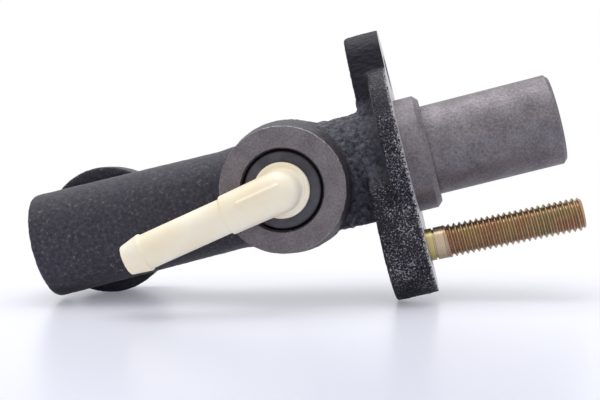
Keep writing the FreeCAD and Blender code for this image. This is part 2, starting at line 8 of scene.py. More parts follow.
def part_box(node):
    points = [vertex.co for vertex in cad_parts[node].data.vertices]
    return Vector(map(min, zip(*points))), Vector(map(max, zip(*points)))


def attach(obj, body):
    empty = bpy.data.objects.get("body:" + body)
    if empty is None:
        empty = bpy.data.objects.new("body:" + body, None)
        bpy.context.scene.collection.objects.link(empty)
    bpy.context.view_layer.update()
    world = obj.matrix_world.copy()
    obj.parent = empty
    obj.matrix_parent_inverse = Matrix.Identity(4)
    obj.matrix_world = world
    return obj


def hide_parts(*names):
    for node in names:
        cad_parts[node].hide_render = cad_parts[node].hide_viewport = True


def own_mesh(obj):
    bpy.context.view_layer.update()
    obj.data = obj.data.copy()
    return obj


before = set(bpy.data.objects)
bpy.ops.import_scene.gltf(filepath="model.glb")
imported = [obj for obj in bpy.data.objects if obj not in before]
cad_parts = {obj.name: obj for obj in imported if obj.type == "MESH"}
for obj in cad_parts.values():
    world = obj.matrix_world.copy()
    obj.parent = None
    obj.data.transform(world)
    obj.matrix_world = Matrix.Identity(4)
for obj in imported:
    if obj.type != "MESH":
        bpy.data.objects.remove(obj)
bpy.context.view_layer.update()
scene = bpy.context.scene
MM = 0.001

# Camera: a 72 mm lens on a 36 mm sensor, level with the cylinder's side. The bore's open end leans towards
# it and rises to the right, and the inlet looks slightly downwards. The origin lies right of, above and
# before the lens.
BORE_TO_CAMERA = math.radians(7.0)
BORE_RISE = math.radians(13.96)
BORE_ROLL = math.radians(2.51)
ORIGIN_SEEN = Vector((24.70, 10.15, -277.23)) * MM
LENS = 72
SENSOR = 36
NEAREST_SEEN = 10 * MM

bore_seen = Vector((math.cos(BORE_TO_CAMERA) * math.cos(BORE_RISE),
                    math.cos(BORE_TO_CAMERA) * math.sin(BORE_RISE), math.sin(BORE_TO_CAMERA)))
upright_seen = Vector((-math.sin(BORE_RISE), math.cos(BORE_RISE), 0))
height_seen = Matrix.Rotation(BORE_ROLL, 3, bore_seen) @ upright_seen
depth_seen = height_seen.cross(bore_seen)
part_seen = Matrix((bore_seen, depth_seen, height_seen)).transposed()
camera_turn = part_seen.inverted()

camera = bpy.data.objects.new("camera", bpy.data.cameras.new("camera"))
scene.collection.objects.link(camera)
camera.data.lens = LENS
camera.data.sensor_width = SENSOR
camera.data.clip_start = NEAREST_SEEN
camera.matrix_world = Matrix.Translation(-(camera_turn @ ORIGIN_SEEN)) @ camera_turn.to_4x4()
scene.camera = camera
scene.view_settings.view_transform = "Standard"

# Floor: a white acrylic sheet that the flange's lower ear stands on, sloped so that it also lies under the
# outlet boss. It fades into the white behind the cylinder, and its underside isn't shown.
FLOOR_RISE = math.radians(12.6)
FLOOR_REACH = 3.0
SHADE_TINT_FROM = -120 * MM
SHADE_TINT_TO = 60 * MM
FADE_FROM = 30 * MM
FADE_TO = 120 * MM

floor_up = Vector((math.sin(FLOOR_RISE), 0, math.cos(FLOOR_RISE)))
floor_along = Vector((math.cos(FLOOR_RISE), 0, -math.sin(FLOOR_RISE)))
floor_below = max(-floor_up.dot(vertex.co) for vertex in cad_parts["body_casting"].data.vertices)
floor_mesh = bpy.data.meshes.new("floor")
floor_mesh.from_pydata([-floor_up * floor_below + FLOOR_REACH * (floor_along * x + Vector((0, y, 0)))
                        for x, y in ((-1, -1), (1, -1), (1, 1), (-1, 1))], [], [(0, 1, 2, 3)])


def hex_colour(code):
    """The linear colour of an sRGB hex code."""
    channels = [int(code[i:i + 2], 16) / 255 for i in (0, 2, 4)]
    return [c / 12.92 if c <= 0.04045 else ((c + 0.055) / 1.055) ** 2.4 for c in channels] + [1.0]


def add_node(tree, kind, settings=None, inputs=None):
    """Adds a node with its own settings, where a ramp's stops are hex codes by their place. Each input is a
    plain value or the socket that feeds it."""
    node = tree.nodes.new(kind)
    for name, value in (settings or {}).items():
        if name != "stops":
            setattr(node, name, value)
            continue
        elements = node.color_ramp.elements
        while len(elements) < len(value):
            elements.new(0.5)
        for element, (place, code) in zip(elements, value.items()):
            element.position = place
            element.color = hex_colour(code)
    for name, value in (inputs or {}).items():
        if isinstance(value, bpy.types.NodeSocket):
            tree.links.new(value, node.inputs[name])
        else:
            node.inputs[name].default_value = value
    return node


def new_material(name):
    """A material with an empty tree, and the tree."""
    material = bpy.data.materials.new(name)
    material.use_nodes = True
    material.node_tree.nodes.clear()
    return material, material.node_tree


# Satin acrylic: a faint soft reflection in white, tinted bluish, with painted shade that darkens it a little
# towards the camera.
# Its glow stands for the light that the tent sends through the sheet.
acrylic, tree = new_material("white_satin_acrylic")
place = add_node(tree, "ShaderNodeTexCoord").outputs["Object"]
depth = add_node(tree, "ShaderNodeSeparateXYZ", inputs={"Vector": place}).outputs["Y"]
away = add_node(tree, "ShaderNodeMapRange",
                inputs={"Value": depth, "From Min": SHADE_TINT_FROM, "From Max": SHADE_TINT_TO}).outputs["Result"]
# Painted shade: the ramp darkens the sheet towards the camera as well as tinting it bluish.
tint_and_painted_shade = add_node(tree, "ShaderNodeValToRGB",
                {"stops": {0.0: "C8CBD8", 0.45: "D3D5DF", 0.75: "D2D2D9", 1.0: "D6D6DB"}},
                {"Fac": away}).outputs["Color"]
acrylic_surface = add_node(tree, "ShaderNodeBsdfPrincipled",
                           inputs={"Base Color": tint_and_painted_shade, "Roughness": 0.30, "Specular IOR Level": 0.4,
                                   "Emission Color": hex_colour("E6E8F6"), "Emission Strength": 0.22})
fade = add_node(tree, "ShaderNodeMapRange",
                inputs={"Value": depth, "From Min": FADE_FROM, "From Max": FADE_TO}).outputs["Result"]
beneath = add_node(tree, "ShaderNodeNewGeometry").outputs["Backfacing"]
hidden = add_node(tree, "ShaderNodeMath", {"operation": "MAXIMUM"}, {0: fade, 1: beneath}).outputs[0]
clear = add_node(tree, "ShaderNodeBsdfTransparent")
shown = add_node(tree, "ShaderNodeMixShader",
                 inputs={0: hidden, 1: acrylic_surface.outputs[0], 2: clear.outputs[0]})
add_node(tree, "ShaderNodeOutputMaterial", inputs={"Surface": shown.outputs[0]})


def new_object(name, mesh, materials=()):
    """An object of the scene with its mesh's materials."""
    piece = bpy.data.objects.new(name, mesh)
    scene.collection.objects.link(piece)
    for material in materials:
        mesh.materials.append(material)
    return piece


floor = new_object("floor", floor_mesh, [acrylic])

# Light: white cloth all round, as in a light tent, which looks brighter than the light that it gives, and
# one broad soft box above and a little behind the cylinder.
TENT_LEVEL = 0.75
BOX_PLACE = Vector((50, 100, 600)) * MM
BOX_AIM = Vector((-20, 0, 0)) * MM
BOX_WIDTH = 600 * MM
BOX_DEPTH = 500 * MM
BOX_WATTS = 2.25

world = bpy.data.worlds.new("light_tent")
scene.world = world
world.use_nodes = True
tree = world.node_tree
tree.nodes.clear()
path = add_node(tree, "ShaderNodeLightPath").outputs
mirrored = add_node(tree, "ShaderNodeMath", {"operation": "MAXIMUM"},
                    {0: path["Is Glossy Ray"], 1: path["Is Transmission Ray"]}).outputs[0]
seen = add_node(tree, "ShaderNodeMath", {"operation": "MAXIMUM"},
                {0: path["Is Camera Ray"], 1: mirrored}).outputs[0]
level = add_node(tree, "ShaderNodeMapRange", inputs={"Value": seen, "To Min": TENT_LEVEL, "To Max": 1.0})
tent = add_node(tree, "ShaderNodeBackground",
                inputs={"Color": hex_colour("FFFFFF"), "Strength": level.outputs[0]})
add_node(tree, "ShaderNodeOutputWorld", inputs={"Surface": tent.outputs[0]})

lamp = bpy.data.lights.new("top_box", "AREA")
lamp.shape = "RECTANGLE"
lamp.size = BOX_WIDTH
lamp.size_y = BOX_DEPTH
lamp.energy = BOX_WATTS
top_box = bpy.data.objects.new("top_box", lamp)
scene.collection.objects.link(top_box)
top_box.location = BOX_PLACE
top_box.rotation_euler = (BOX_PLACE - BOX_AIM).to_track_quat("Z", "Y").to_euler()

# Body casting: grey iron, sand cast in one piece, coated black, then turned and faced where it mates. The
# blank is its rough forms fused and softened as a mould gives them, and is a little long at each face that
# is machined.
BORE_AXIS = ((0, 0, 0), (1, 0, 0))
BARREL_REACH = 88.4
BARREL_RADIUS = 12.4
WAIST_PLACE = -42.0
WAIST_RADIUS = 11.7
NECK_PLACE = -35.0
DISC_RADIUS = 20.5
DISC_THICKNESS = 4.3
EAR_TURN = math.radians(28.3)
EAR_PITCH = 45.6
EAR_WIDTH = 21.0
EAR_ARC_STEPS = 24
UPPER_EAR_THICKNESS = 8.2
LOWER_EAR_THICKNESS = 9.5
WEB_HALF_WIDTH = 9.5
WEB_TOP = -8.8
INLET_PLACE = -27.5
INLET_FACE = -20.0
INLET_RADIUS = 13.9
INLET_AXIS = ((INLET_PLACE, 0, 0), (0, 1, 0))
OUTLET_PLACE = -75.4
OUTLET_FACE = 18.5
OUTLET_RADIUS = 15.5
OUTLET_AXIS = ((OUTLET_PLACE, 0, 0), (0, 1, 0))
ALLOWANCE = 2.0
SEGMENTS = 128
CASTING_VOXEL = 0.45
CASTING_SOFTENING = 14
SAND_GRAIN = 1.3
SAND_RELIEF = 0.15


def add_turned(shape, profile, axis=BORE_AXIS, segments=SEGMENTS):
    """Adds a solid of revolution about an axis, given as a centre and a direction. The profile runs along the
    axis as (distance, radius) pairs."""
    centre, along = (Vector(part) for part in axis)
    along = along.normalized()
    side = along.orthogonal().normalized()
    other = along.cross(side)
    rings = []
    for distance, radius in profile:
        middle = centre + along * distance
        if radius == 0:
            rings.append([shape.verts.new(middle * MM)])
            continue
        rings.append([shape.verts.new((middle + radius * (math.cos(a) * side + math.sin(a) * other)) * MM)
                      for a in (2 * math.pi * i / segments for i in range(segments))])
    for near, far in zip(rings, rings[1:]):
        for i in range(segments):
            j = (i + 1) % segments
            corners = [near[i % len(near)], near[j % len(near)], far[j % len(far)], far[i % len(far)]]
            corners = [v for k, v in enumerate(corners) if v not in corners[:k]]
            if len(corners) > 2:
                shape.faces.new(corners)


def rod(low, high, radius):
    """The profile of a plain round rod."""
    return [(low, 0), (low, radius), (high, radius), (high, 0)]


def add_bar(shape, low, high, outline):
    """Adds a bar along X from low to high with an outline of (y, z) corners."""
    ends = [[shape.verts.new(Vector((x, y, z)) * MM) for y, z in outline] for x in (low, high)]
    shape.faces.new(ends[0])
    shape.faces.new(reversed(ends[1]))
    for i in range(len(outline)):
        j = (i + 1) % len(outline)
        shape.faces.new((ends[0][j], ends[0][i], ends[1][i], ends[1][j]))


def ear_outline(way):
    """The ear's outline: round its bolt, straight back to the bore's axis."""
    far = Vector((math.sin(EAR_TURN), math.cos(EAR_TURN))) * (EAR_PITCH / 2 * way)
    start = math.atan2(far.y, far.x)
    return [(centre.x + EAR_WIDTH / 2 * math.cos(a), centre.y + EAR_WIDTH / 2 * math.sin(a))
            for centre, offset in ((far, -math.pi / 2), (Vector((0, 0)), math.pi / 2))
            for a in (start + offset + math.pi * i / EAR_ARC_STEPS for i in range(EAR_ARC_STEPS + 1))]


def as_mesh(shape, name):
    """Closes a bmesh into a mesh whose faces point outwards."""
    bmesh.ops.recalc_face_normals(shape, faces=shape.faces)
    mesh = bpy.data.meshes.new(name)
    shape.to_mesh(mesh)
    shape.free()
    return mesh


blank = bmesh.new()
add_turned(blank, [
    (-BARREL_REACH, 0), (-BARREL_REACH, BARREL_RADIUS - 0.2), (0.4 - BARREL_REACH, BARREL_RADIUS),
    (WAIST_PLACE, WAIST_RADIUS), (NECK_PLACE, BARREL_RADIUS), (ALLOWANCE, BARREL_RADIUS), (ALLOWANCE, 0)])
add_turned(blank, rod(-DISC_THICKNESS, ALLOWANCE, DISC_RADIUS))
add_bar(blank, -UPPER_EAR_THICKNESS, ALLOWANCE, ear_outline(1))
add_bar(blank, -LOWER_EAR_THICKNESS, ALLOWANCE, ear_outline(-1))
add_bar(blank, INLET_PLACE, 0, [(-WEB_HALF_WIDTH, -BARREL_RADIUS), (WEB_HALF_WIDTH, -BARREL_RADIUS),
                                (WEB_HALF_WIDTH, WEB_TOP), (-WEB_HALF_WIDTH, WEB_TOP)])
add_turned(blank, [(0, 0), (0, INLET_RADIUS + 1.4), (-8.0, INLET_RADIUS + 1.3), (INLET_FACE, INLET_RADIUS),
                   (INLET_FACE - ALLOWANCE, INLET_RADIUS - 0.2), (INLET_FACE - ALLOWANCE, 0)], INLET_AXIS)
add_turned(blank, [(8.0, 0), (8.0, OUTLET_RADIUS), (OUTLET_FACE - 1.0, OUTLET_RADIUS - 0.4),
                   (OUTLET_FACE + ALLOWANCE, OUTLET_RADIUS - 2.3), (OUTLET_FACE + ALLOWANCE, 0)], OUTLET_AXIS)


def soften(piece, voxel, softening):
    """Fuses a rough piece's overlapping forms and rounds their joins, as a mould does."""
    fused = piece.modifiers.new("fused", "REMESH")
    fused.mode = "VOXEL"
    fused.voxel_size = voxel * MM
    softened = piece.modifiers.new("softened", "SMOOTH")
    softened.factor = 0.5
    softened.iterations = softening


rough = new_object("rough_casting", as_mesh(blank, "rough_casting"))
soften(rough, CASTING_VOXEL, CASTING_SOFTENING)
sand = bpy.data.textures.new("moulding_sand", "CLOUDS")
sand.noise_scale = SAND_GRAIN * MM
sand.noise_depth = 1
sanded = rough.modifiers.new("sanded", "DISPLACE")
sanded.texture = sand
sanded.texture_coords = "LOCAL"
sanded.strength = SAND_RELIEF * MM
sanded.mid_level = 0.5

# The machining: the flange and both bosses are faced, the spigot and its collar turned, and the bore, the
# grommet's socket, the outlet port, the bolt hole and the stud's hole cut, each by a tool that reaches out
# of the iron.
BORE = 15.87
BORE_BOTTOM = -82.0
GROOVE_FROM = 30.45
GROOVE_TO = 31.7
GROOVE_RADIUS = 8.65
COLLAR_RADIUS = 13.15
COLLAR_REACH = 5.5
COLLAR_CHAMFER = 1.2
SPIGOT_RADIUS = 10.35
SPIGOT_REACH = 34.9
SPIGOT_CHAMFER = 0.8
SOCKET_RADIUS = 9.0
SOCKET_BOTTOM = -11.8
PORT_RADIUS = 4.5
PORT_BOTTOM = 9.5
FEED_RADIUS = 1.5
SEAT_RADIUS = 7.0
BOLT_HOLE = 8.5
FLANGE_CUTTER = 60
BOSS_CUTTER = 20
STUD_RADIUS = 3.6
STUD_DEPTH = 6.5
STUD_LEAN = math.radians(1.9)
HOLE_SEGMENTS = 64

ear_y = math.sin(EAR_TURN) * EAR_PITCH / 2
ear_z = math.cos(EAR_TURN) * EAR_PITCH / 2
bolt_axis = ((0, ear_y, ear_z), (1, 0, 0))
stud_axis = ((0, -ear_y, -ear_z), (math.cos(STUD_LEAN), 0, -math.sin(STUD_LEAN)))


def machine(piece, operation, name, profile, axis=BORE_AXIS, segments=SEGMENTS):
    """Joins a turned form to a piece, or cuts it out, and returns the tool that does it."""
    shape = bmesh.new()
    add_turned(shape, profile, axis, segments)
    tool = new_object(name, as_mesh(shape, name))
    step = piece.modifiers.new(name, "BOOLEAN")
    step.operation = operation
    step.solver = "MANIFOLD"
    step.object = tool
    return tool


def finished_mesh(piece, tools=()):
    """The mesh that a piece's modifiers make. The piece and its tools leave the scene."""
    mesh = bpy.data.meshes.new_from_object(piece.evaluated_get(bpy.context.evaluated_depsgraph_get()))
    mesh.materials.clear()
    for item in (piece, *tools):
        bpy.data.objects.remove(item)
    return mesh


workshop = [
    machine(rough, "DIFFERENCE", "flange_facing", rod(0, ALLOWANCE + 5, FLANGE_CUTTER)),
    machine(rough, "DIFFERENCE", "inlet_facing", rod(INLET_FACE - 10, INLET_FACE, BOSS_CUTTER), INLET_AXIS),
    machine(rough, "DIFFERENCE", "outlet_facing", rod(OUTLET_FACE, OUTLET_FACE + 10, BOSS_CUTTER),
            OUTLET_AXIS),
    machine(rough, "UNION", "turned_spigot", [
        (-1.0, 0), (-1.0, COLLAR_RADIUS), (COLLAR_REACH - COLLAR_CHAMFER, COLLAR_RADIUS),
        (COLLAR_REACH, COLLAR_RADIUS - COLLAR_CHAMFER), (COLLAR_REACH, SPIGOT_RADIUS),
        (SPIGOT_REACH - SPIGOT_CHAMFER, SPIGOT_RADIUS), (SPIGOT_REACH, SPIGOT_RADIUS - SPIGOT_CHAMFER),
        (SPIGOT_REACH, 0)]),
    machine(rough, "DIFFERENCE", "bore", [
        (BORE_BOTTOM - 2.0, 0), (BORE_BOTTOM, 3.0), (BORE_BOTTOM, BORE / 2), (GROOVE_FROM, BORE / 2),
        (GROOVE_FROM, GROOVE_RADIUS), (GROOVE_TO, GROOVE_RADIUS), (GROOVE_TO, BORE / 2),
        (SPIGOT_REACH - 0.2, BORE / 2), (SPIGOT_REACH + 0.3, BORE / 2 + 0.5), (SPIGOT_REACH + 0.3, 0)]),
    machine(rough, "DIFFERENCE", "grommet_socket", [
        (INLET_FACE - 1.0, 0), (INLET_FACE - 1.0, SOCKET_RADIUS + 1.3), (INLET_FACE + 0.3, SOCKET_RADIUS),
        (SOCKET_BOTTOM, SOCKET_RADIUS), (SOCKET_BOTTOM, 0)], INLET_AXIS),
    machine(rough, "DIFFERENCE", "outlet_port", [
        (0, 0), (0, FEED_RADIUS), (PORT_BOTTOM, FEED_RADIUS), (PORT_BOTTOM, PORT_RADIUS),
        (OUTLET_FACE - 1.0, PORT_RADIUS), (OUTLET_FACE - 1.0, SEAT_RADIUS), (OUTLET_FACE + 1.5, SEAT_RADIUS),
        (OUTLET_FACE + 1.5, 0)], OUTLET_AXIS),
    machine(rough, "DIFFERENCE", "bolt_hole", rod(-12, 2, BOLT_HOLE / 2), bolt_axis, HOLE_SEGMENTS),
    machine(rough, "DIFFERENCE", "stud_hole", [
        (-STUD_DEPTH, 0), (-STUD_DEPTH, STUD_RADIUS), (-0.7, STUD_RADIUS), (1.3, STUD_RADIUS + 2.0),
        (1.3, 0)], stud_axis, HOLE_SEGMENTS)]
casting_mesh = finished_mesh(rough, workshop)
casting_mesh.name = "body_casting_finished"

# The cast skin: thin and grey on the barrel, rubbed off the coarse grain of the flange's rim, whose pale
# specks are partly painted glints, and wrinkled on the neck, where the mould was patched. The upper ear is
# darker with painted shade, for the little light that falls on it. The edges of the faced iron show small
# chips through it, with a painted highlight along them.
RIM_FROM_BORE = (14.0, 16.0)
EDGE_FROM_BORE = (14.0, 15.0)
EAR_HEIGHT = (5.0, 11.0)
NECK_REAR = (-32.0, -20.0)
NECK_FRONT = (-3.0, -8.0)
NECK_OUTSIDE = (18.0, 15.0)
NECK_INSIDE = (10.5, 11.5)
FOLD_SIZE = 1.5
FOLD_RELIEF = 0.34
PIT_SIZE = 0.5
PIT_RELIEF = 0.14


def share(value, low, high):
    """How far a value has come from low to high, from 0 to 1."""
    return min(1.0, max(0.0, (value - low) / (high - low)))


moves = []
skins = {"worn_grit": [], "thick_coat": [], "wrinkled_skin": [], "bare_edge": []}
for vertex in casting_mesh.vertices:
    x, y, z = vertex.co / MM
    from_bore = math.hypot(y, z)
    from_inlet = math.hypot(x - INLET_PLACE, z)
    on_flange = share(x, -LOWER_EAR_THICKNESS - 1.0, 0.5 - LOWER_EAR_THICKNESS)
    rim = on_flange * share(from_bore, *RIM_FROM_BORE)
    beyond_disc = max(share(from_bore, DISC_RADIUS - 0.2, DISC_RADIUS + 0.8),
                      share(x, 0.3 - DISC_THICKNESS, -0.6 - DISC_THICKNESS))
    upper_ear = share(z, *EAR_HEIGHT) * beyond_disc
    along_neck = share(x, *NECK_REAR) * share(x, *NECK_FRONT)
    round_neck = share(from_bore, *NECK_OUTSIDE) * share(from_bore, *NECK_INSIDE)
    beside_inlet = share(from_inlet, INLET_RADIUS + 0.5, INLET_RADIUS + 1.7) if y < 0 else 1.0
    wrinkled = along_neck * round_neck * beside_inlet
    flange_edge = share(x, -0.6, -0.1) * share(from_bore, *EDGE_FROM_BORE) * (1 - upper_ear)
    inlet_rim = (share(from_inlet, INLET_RADIUS - 0.9, INLET_RADIUS - 0.3)
                 * share(from_inlet, INLET_RADIUS + 1.1, INLET_RADIUS + 0.3))
    inlet_edge = inlet_rim * share(y, INLET_FACE + 1.4, INLET_FACE + 0.3)
    # The rim's pale grain is partly bared iron and partly painted glints.
    skins["worn_grit"].append(rim * (1 - upper_ear))
    # Painted shade: the upper ear's darker coat stands in for the little light that falls on it.
    skins["thick_coat"].append(rim * upper_ear)
    skins["wrinkled_skin"].append(wrinkled)
    # The faced edges' pale band is partly chipped coat and partly a painted highlight.
    skins["bare_edge"].append(max(flange_edge, inlet_edge))
    folds = noise.fractal(vertex.co / (FOLD_SIZE * MM), 0.6, 2.2, 2) * FOLD_RELIEF * wrinkled
    pits = noise.noise(vertex.co / (PIT_SIZE * MM)) * PIT_RELIEF * rim * share(x, -0.3, -0.9)
    moves.append(vertex.normal * ((folds + pits) * MM))
for vertex, move in zip(casting_mesh.vertices, moves):
    vertex.co += move
for name, values in skins.items():
    casting_mesh.attributes.new(name, "FLOAT", "POINT").data.foreach_set("value", values)

# Black coated cast iron: a dull, faintly bluish dark grey with pale specks of sand. The bared grain of the
# rim is pale, partly bare iron and partly painted glints, the upper ear's coat is near black with painted
# shade, and hollows get painted shade. The grain of 0.36 mm is the finest that shows in the render.
cast_black, tree = new_material("black_coated_cast_iron")
place = add_node(tree, "ShaderNodeTexCoord").outputs["Object"]
grit_and_glint_mask, upper_ear_shade, wrinkled, edge_and_highlight_mask = (
    add_node(tree, "ShaderNodeAttribute", {"attribute_name": name}).outputs["Fac"] for name in skins)
grain, specks, wrinkles, patches = (
    add_node(tree, "ShaderNodeTexNoise",
             inputs={"Vector": place, "Scale": 1 / (size * MM), **look}).outputs["Fac"]
    for size, look in ((0.36, {"Detail": 3.0, "Roughness": 0.6}), (0.8, {"Detail": 3.0, "Roughness": 0.6}),
                       (1.1, {"Detail": 3.0, "Roughness": 0.65, "Distortion": 0.5}), (6.0, {"Detail": 2.0})))
# Pale grain on the rim: partly bared iron, partly painted glints.
grain_wear_and_glints = add_node(tree, "ShaderNodeMix", {"data_type": "FLOAT"}, {0: 0.22, 2: grain, 3: patches}).outputs[0]
# Painted light in these tones: the rim grain's pale stops are partly painted glints, the upper ear's
# near-black stops are painted shade, and the faced edges' white stops are partly a painted highlight.
thin_coat, folded_coat, worn_coat_and_glints, thick_coat, edge_nicks_and_highlights = (
    add_node(tree, "ShaderNodeValToRGB", {"stops": stops}, {"Fac": pattern}).outputs["Color"]
    for pattern, stops in (
        (specks, {0.34: "312F35", 0.56: "434046", 0.66: "545053", 0.80: "8F8A8A"}),
        (wrinkles, {0.36: "302F35", 0.50: "504F57", 0.70: "73727C"}),
        (grain_wear_and_glints, {0.42: "0E0D10", 0.50: "262429", 0.57: "57545A", 0.66: "BAB7BD"}),
        (grain, {0.35: "060507", 0.75: "141216"}),
        (grain, {0.42: "000000", 0.56: "FFFFFF"})))
# Pale marks on the faced edges: partly chips, partly a painted highlight.
nicked_and_highlit = add_node(tree, "ShaderNodeMath", {"operation": "MULTIPLY"}, {0: edge_and_highlight_mask, 1: edge_nicks_and_highlights}).outputs[0]
coat = thin_coat
for amount, layer in ((wrinkled, folded_coat), (grit_and_glint_mask, worn_coat_and_glints), (upper_ear_shade, thick_coat),
                      (nicked_and_highlit, hex_colour("D2D0D5"))):
    coat = add_node(tree, "ShaderNodeMix", {"data_type": "RGBA"}, {0: amount, 6: coat, 7: layer}).outputs[2]
# Painted shade: ambient occlusion darkens the coat towards black in hollows and crevices.
corners = add_node(tree, "ShaderNodeAmbientOcclusion", {"samples": 8}, {"Color": coat, "Distance": 5 * MM})
painted_crevice_shade = add_node(tree, "ShaderNodeMapRange",
                      inputs={"Value": corners.outputs["AO"], "From Min": 0.35, "From Max": 0.85,
                              "To Min": 0.25}).outputs[0]
coat = add_node(tree, "ShaderNodeMix", {"data_type": "RGBA"},
                {0: painted_crevice_shade, 6: hex_colour("000000"), 7: coat}).outputs[2]
grain_depth = add_node(tree, "ShaderNodeMapRange",
                       inputs={"Value": grit_and_glint_mask, "To Min": 0.10 * MM, "To Max": 0.30 * MM}).outputs[0]
grained = add_node(tree, "ShaderNodeBump", inputs={"Strength": 1.0, "Distance": grain_depth, "Height": grain})
fold_depth = add_node(tree, "ShaderNodeMath", {"operation": "MULTIPLY"},
                      {0: wrinkled, 1: 0.6 * MM}).outputs[0]
relief = add_node(tree, "ShaderNodeBump", inputs={"Strength": 1.0, "Distance": fold_depth, "Height": wrinkles,
                                                  "Normal": grained.outputs[0]})
skin = add_node(tree, "ShaderNodeBsdfPrincipled",
                inputs={"Base Color": coat, "Roughness": 0.48, "Specular IOR Level": 0.22,
                        "Specular Tint": hex_colour("DCDFFF"), "Normal": relief.outputs[0]})
add_node(tree, "ShaderNodeOutputMaterial", inputs={"Surface": skin.outputs[0]})


# Machined iron: bare, its tool marks dulled by blasting, so that the eye sees a dull grey with a fine even
# mottle and faint blotches. The flange's mating face is milled, and painted much lighter as a painted
# reflection of the bright tent beside it; the bosses' faces are a little rougher than the turned iron.
def machined_iron(name, dark, light, roughness):
    """A bare iron whose mottle runs from a dark to a light tone."""
    material, tree = new_material(name)
    place = add_node(tree, "ShaderNodeTexCoord").outputs["Object"]
    mottle = add_node(tree, "ShaderNodeTexNoise", inputs={"Vector": place, "Scale": 1 / (0.5 * MM),
                                                          "Detail": 3.0, "Roughness": 0.7}).outputs["Fac"]
    blotches = add_node(tree, "ShaderNodeTexNoise", inputs={"Vector": place, "Scale": 1 / (5 * MM),
                                                            "Detail": 2.0}).outputs["Fac"]
    both = add_node(tree, "ShaderNodeMix", {"data_type": "FLOAT"},
                    {0: 0.35, 2: mottle, 3: blotches}).outputs[0]
    tone = add_node(tree, "ShaderNodeValToRGB", {"stops": {0.36: dark, 0.64: light}},
                    {"Fac": both}).outputs["Color"]
    relief = add_node(tree, "ShaderNodeBump",
                      inputs={"Strength": 0.8, "Distance": 0.06 * MM, "Height": mottle}).outputs[0]
    surface = add_node(tree, "ShaderNodeBsdfPrincipled",
                       inputs={"Base Color": tone, "Metallic": 0.85, "Roughness": roughness,
                               "Normal": relief})
    add_node(tree, "ShaderNodeOutputMaterial", inputs={"Surface": surface.outputs[0]})
    return material


turned_iron = machined_iron("turned_bare_iron", "625D61", "8E898E", 0.55)
faced_iron = machined_iron("faced_bare_iron", "645E61", "8A8488", 0.6)
# Painted reflection: the milled face's light tones stand in for the bright tent that it faces.
milled_iron_painted_bright = machined_iron("milled_iron_painted_reflection", "B4B1B6", "DAD8DC", 0.5)

CAST, TURNED, FACED, MILLED = range(4)
ON_FACE = 0.02
ON_WALL = 0.05
body = new_object("casting", casting_mesh, [cast_black, turned_iron, faced_iron, milled_iron_painted_bright])
for face in casting_mesh.polygons:
    x, y, z = face.center / MM
    from_bore = math.hypot(y, z)
    from_inlet = math.hypot(x - INLET_PLACE, z)
    from_outlet = math.hypot(x - OUTLET_PLACE, z)
    in_socket = y < SOCKET_BOTTOM + 0.1 and from_inlet < SOCKET_RADIUS + ON_WALL
    in_bolt_hole = math.hypot(y - ear_y, z - ear_z) < BOLT_HOLE / 2 + ON_WALL
    in_stud_hole = math.hypot(y + ear_y, z + ear_z) < STUD_RADIUS + 0.9
    face.use_smooth = True
    if abs(x) < ON_FACE and from_bore > COLLAR_RADIUS + 0.15:
        face.material_index = MILLED
    elif x > -ON_FACE or from_bore < BORE / 2 + 0.01:
        face.material_index = TURNED
    elif from_inlet < INLET_RADIUS + 0.3 and (y < INLET_FACE + ON_FACE or in_socket):
        face.material_index = FACED
    elif y > OUTLET_FACE - ON_FACE or (y > 0 and from_outlet < SEAT_RADIUS + ON_WALL):
        face.material_index = FACED
    elif in_bolt_hole or in_stud_hole:
        face.material_index = TURNED
    else:
        face.material_index = CAST
casting_mesh.set_sharp_from_angle(angle=math.radians(40))
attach(body, "cylinder")
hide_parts("body_casting")

# Mounting stud: steel M8 x 1.25, zinc plated and passivated yellow, screwed into the lower ear. Its rolled
# thread follows one rule along its length, so Geometry Nodes shape it from a grid that is wrapped round the
# stud.
STUD_END = 34.7
THREAD_START = 3.9
THREAD_SIZES = {"Start": THREAD_START * MM, "End": STUD_END * MM, "Pitch": 1.25 * MM, "Crest": 3.72 * MM,
                "Depth": 0.66 * MM, "Run in": 1.4 * MM, "Chamfer length": 0.9 * MM, "Chamfer depth": 0.7 * MM}
ROOT_FLAT = 0.12
FLANK = 1 - 2 * ROOT_FLAT
STEPS_ALONG = 420
STEPS_ROUND = 73
NOT_AT_END = 0.4999


def new_shape_tree(name, sizes):
    """A Geometry Nodes tree with a named input for each size and for the finish, the identifiers of these
    inputs, and the sockets that give them."""
    tree = bpy.data.node_groups.new(name, "GeometryNodeTree")
    tree.interface.new_socket("Shape", in_out="OUTPUT", socket_type="NodeSocketGeometry")
    kinds = {**dict.fromkeys(sizes, "NodeSocketFloat"), "Finish": "NodeSocketMaterial"}
    identifiers = {label: tree.interface.new_socket(label, in_out="INPUT", socket_type=kind).identifier
                   for label, kind in kinds.items()}
    return tree, identifiers, add_node(tree, "NodeGroupInput").outputs


def shaped_mesh(tree, identifiers, values):
    """The mesh that a tree makes with these values of its inputs."""
    empty = new_object(tree.name, bpy.data.meshes.new(tree.name))
    step = empty.modifiers.new(tree.name, "NODES")
    step.node_group = tree
    for label, value in values.items():
        step[identifiers[label]] = value
    return finished_mesh(empty)


